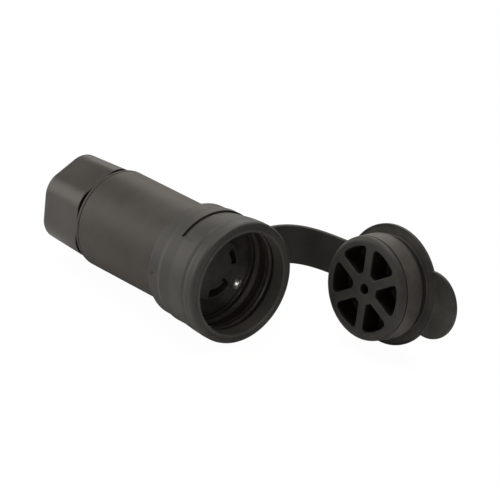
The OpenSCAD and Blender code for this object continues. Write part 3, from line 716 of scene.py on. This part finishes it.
# The strap's rubber is the boot's, painted darker as shade on the band.
strap_rubber = moulded("strap_rubber", (0.026, 0.026, 0.023), (0.049, 0.046, 0.042), 0.5, edge=0.2)


def strap_at(t):
    """The band's middle and its direction at a share t of its way."""
    a, d = strap_start, strap_end
    b, c = a + Vector((0, strap_handles[0], 0)), d - sideways * strap_handles[1]
    point = a * (1 - t)**3 + b * 3 * t * (1 - t)**2 + c * 3 * t * t * (1 - t) + d * t**3
    onward = (b - a) * 3 * (1 - t)**2 + (c - b) * 6 * t * (1 - t) + (d - c) * 3 * t * t
    return point, onward.normalized()


def strap_section(t):
    """The band's section: a flat bar with round edges, as (across, out)."""
    w, d = strap_w_root + (strap_w - strap_w_root) * t, strap_t + (strap_t_cap - strap_t) * t
    corners = [(-w / 2, -d / 2, strap_round), (w / 2, -d / 2, strap_round),
               (w / 2, d / 2, strap_round), (-w / 2, d / 2, strap_round)]
    return rounded(corners, steps=5)


def strap_length(name, first, last, steps):
    """A closed length of the band between two shares of its way."""
    bm = bmesh.new()
    loops = []
    for i in range(steps + 1):
        t = first + (last - first) * i / steps
        point, onward = strap_at(min(max(t, 0), 1))
        point += onward * (min(t, 0) + max(t - 1, 0)) * strap_overrun
        up = Vector((0, 0, 1)) * (1 - t) + cap_up * t
        up = (up - onward * up.dot(onward)).normalized()
        side = onward.cross(up)
        loops.append([point + up * q.x + side * q.y for q in strap_section(min(max(t, 0), 1))])
    rows = loft(bm, loops)
    bm.faces.new(rows[0])
    bm.faces.new(rows[-1])
    return finished(name, bm, strap_rubber, sharp=50)


root_length = strap_length("strap_root_length", -0.03, strap_joint, 30)
cap_length = strap_length("strap_cap_length", strap_joint, 1.03, 30)
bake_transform(root_length)
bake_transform(cap_length)
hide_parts("cap_strap")
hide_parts("cap_strap")


# Table: a plain white sheet that the coupler rests on with its bead and its nut, so it slopes
# a little along the axis. It shows white to the camera, and keeps a soft shadow. The room
# behind it is white too, and lights the coupler with a dim warm glow.
floor_drop, floor_slope, floor_tilt, floor_half = -30.05, -0.0445, -0.0045, 1.6
sheet_tone, glow_strength, glow_share = 0.95, 1.035, 0.94
warm, room_strength = (1, 0.965, 0.91), 0.26
bm = bmesh.new()
corners = [(-floor_half, -floor_half), (floor_half, -floor_half),
           (floor_half, floor_half), (-floor_half, floor_half)]
bm.faces.new([bm.verts.new((x, y, floor_drop * mm + floor_slope * x + floor_tilt * y))
              for x, y in corners])
white = bpy.data.materials.new("table_white")
white.use_nodes = True
tree = white.node_tree
sheet = tree.nodes["Principled BSDF"]
sheet.inputs["Base Color"].default_value = (sheet_tone, sheet_tone, sheet_tone, 1)
sheet.inputs["Roughness"].default_value = 0.9
glow = tree.nodes.new("ShaderNodeEmission")
glow.inputs["Strength"].default_value = glow_strength
seen = tree.nodes.new("ShaderNodeLightPath")
part = tree.nodes.new("ShaderNodeMath")
part.operation = "MULTIPLY"
part.inputs[1].default_value = glow_share
both = tree.nodes.new("ShaderNodeMixShader")
tree.links.new(seen.outputs["Is Camera Ray"], part.inputs[0])
tree.links.new(part.outputs["Value"], both.inputs["Fac"])
tree.links.new(sheet.outputs["BSDF"], both.inputs[1])
tree.links.new(glow.outputs["Emission"], both.inputs[2])
tree.links.new(both.outputs["Shader"], tree.nodes["Material Output"].inputs["Surface"])
mesh = bpy.data.meshes.new("table")
bm.to_mesh(mesh)
bm.free()
mesh.materials.append(white)
table = bpy.data.objects.new("table", mesh)
bpy.context.scene.collection.objects.link(table)

world = bpy.data.worlds.new("studio")
bpy.context.scene.world = world
world.use_nodes = True
tree = world.node_tree
room = tree.nodes["Background"]
room.inputs["Color"].default_value = (*warm, 1)
room.inputs["Strength"].default_value = room_strength
backdrop = tree.nodes.new("ShaderNodeBackground")
backdrop.inputs["Color"].default_value = (1, 1, 1, 1)
seen = tree.nodes.new("ShaderNodeLightPath")
both = tree.nodes.new("ShaderNodeMixShader")
tree.links.new(seen.outputs["Is Camera Ray"], both.inputs["Fac"])
tree.links.new(room.outputs["Background"], both.inputs[1])
tree.links.new(backdrop.outputs["Background"], both.inputs[2])
tree.links.new(both.outputs["Shader"], tree.nodes["World Output"].inputs["Surface"])


# Lamps: wide soft boxes above and to the left of the coupler, as in a photographer's tent, and
# one narrow beam from in front of the mouth that lights the screw's head deep inside it.
def soft_box_lamp(name, place, aim, size, power):
    """A square lamp that looks at a point."""
    lamp = bpy.data.lights.new(name, "AREA")
    lamp.shape, lamp.size, lamp.energy, lamp.color = "SQUARE", size, power, warm
    holder = bpy.data.objects.new(name, lamp)
    holder.location = place
    holder.rotation_euler = (Vector(aim) - Vector(place)).to_track_quat("-Z", "Y").to_euler()
    bpy.context.scene.collection.objects.link(holder)


soft_box_lamp("lamp_over", (-0.15, 0.1, 0.9), (0, 0, 0), 0.8, 4.3)
soft_box_lamp("lamp_left", (-0.9, -0.5, 0.4), (0, 0, 0), 0.7, 3.5)
soft_box_lamp("lamp_behind_left", (-0.8, 0.8, 0.6), (0, 0, 0), 0.6, 2.4)
glint = bpy.data.lights.new("glint", "SPOT")
glint.energy, glint.shadow_soft_size = 8, 0.01
glint.spot_size, glint.spot_blend = math.radians(1), 0.4
screw_head, out_of_mouth = Vector((-20.5, 15.5, -13)) * mm, Vector((0.285, -0.06, 0.075))
glint_holder = bpy.data.objects.new("glint", glint)
glint_holder.location = screw_head + out_of_mouth
glint_holder.rotation_euler = out_of_mouth.to_track_quat("Z", "Y").to_euler()
bpy.context.scene.collection.objects.link(glint_holder)


# Camera: far off with a long lens, above the mouth's side, as the photograph was taken.
# The lens, and where the mouth's centre shows in the picture, are given in its pixels.
camera_distance, camera_azimuth, camera_height = 1.6, math.radians(50.28), math.radians(24.89)
focal_pixels, centre_x, centre_y, picture_pixels = 3438.75, 241.02, 283.27, 500
back = Vector((math.sin(camera_azimuth) * math.cos(camera_height),
               -math.cos(camera_azimuth) * math.cos(camera_height), math.sin(camera_height)))
right = Vector((math.cos(camera_azimuth), math.sin(camera_azimuth), 0))
above = back.cross(right)
lens = bpy.data.cameras.new("camera")
lens.sensor_width = 36
lens.lens = focal_pixels / picture_pixels * lens.sensor_width
lens.clip_start, lens.clip_end = 0.05, 20
camera = bpy.data.objects.new("camera", lens)
camera.location = (back - right * ((centre_x - picture_pixels / 2) / focal_pixels)
                   + above * ((centre_y - picture_pixels / 2) / focal_pixels)) * camera_distance
camera.rotation_euler = Matrix((right, above, back)).transposed().to_euler()
bpy.context.scene.collection.objects.link(camera)
bpy.context.scene.camera = camera
bpy.context.scene.view_settings.view_transform = "Standard"
